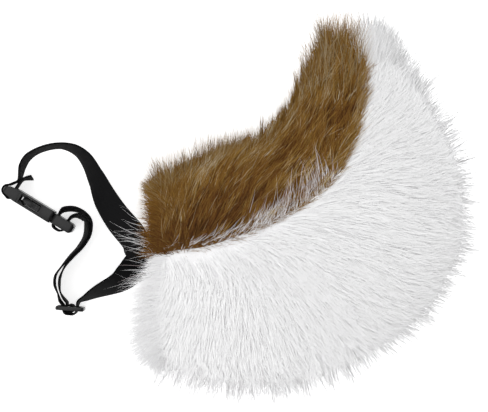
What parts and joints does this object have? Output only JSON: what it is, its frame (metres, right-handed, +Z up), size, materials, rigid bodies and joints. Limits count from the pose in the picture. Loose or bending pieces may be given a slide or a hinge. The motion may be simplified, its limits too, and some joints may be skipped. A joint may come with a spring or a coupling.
{
  "type": "costume animal tail",
  "caption": "Curled plush costume tail of white long-pile fur with a brown inner panel, lying on its side, on an adjustable webbing belt with a side-release buckle and a slider.",
  "frame": {"origin": "centre of the bounding box in plan, on the plane the tail lies on", "axes": "+Z up from the side the tail lies on, +X from the belt towards the curled outer side, +Y towards the tip of the tail"},
  "size_m": [0.386, 0.3206, 0.108],
  "materials": {
    "white_fur": "long-pile faux fur, off-white",
    "brown_fur": "long-pile faux fur, mid brown",
    "black_webbing": "woven polypropylene webbing",
    "black_plastic": "moulded acetal, satin"
  },
  "bodies": {
    "root": {"white_fur_body": "white_fur", "brown_fur_panel": "brown_fur", "belt_webbing": "black_webbing", "buckle_socket": "black_plastic", "buckle_plug": "black_plastic", "strap_slider": "black_plastic"}
  },
  "joints": []
}
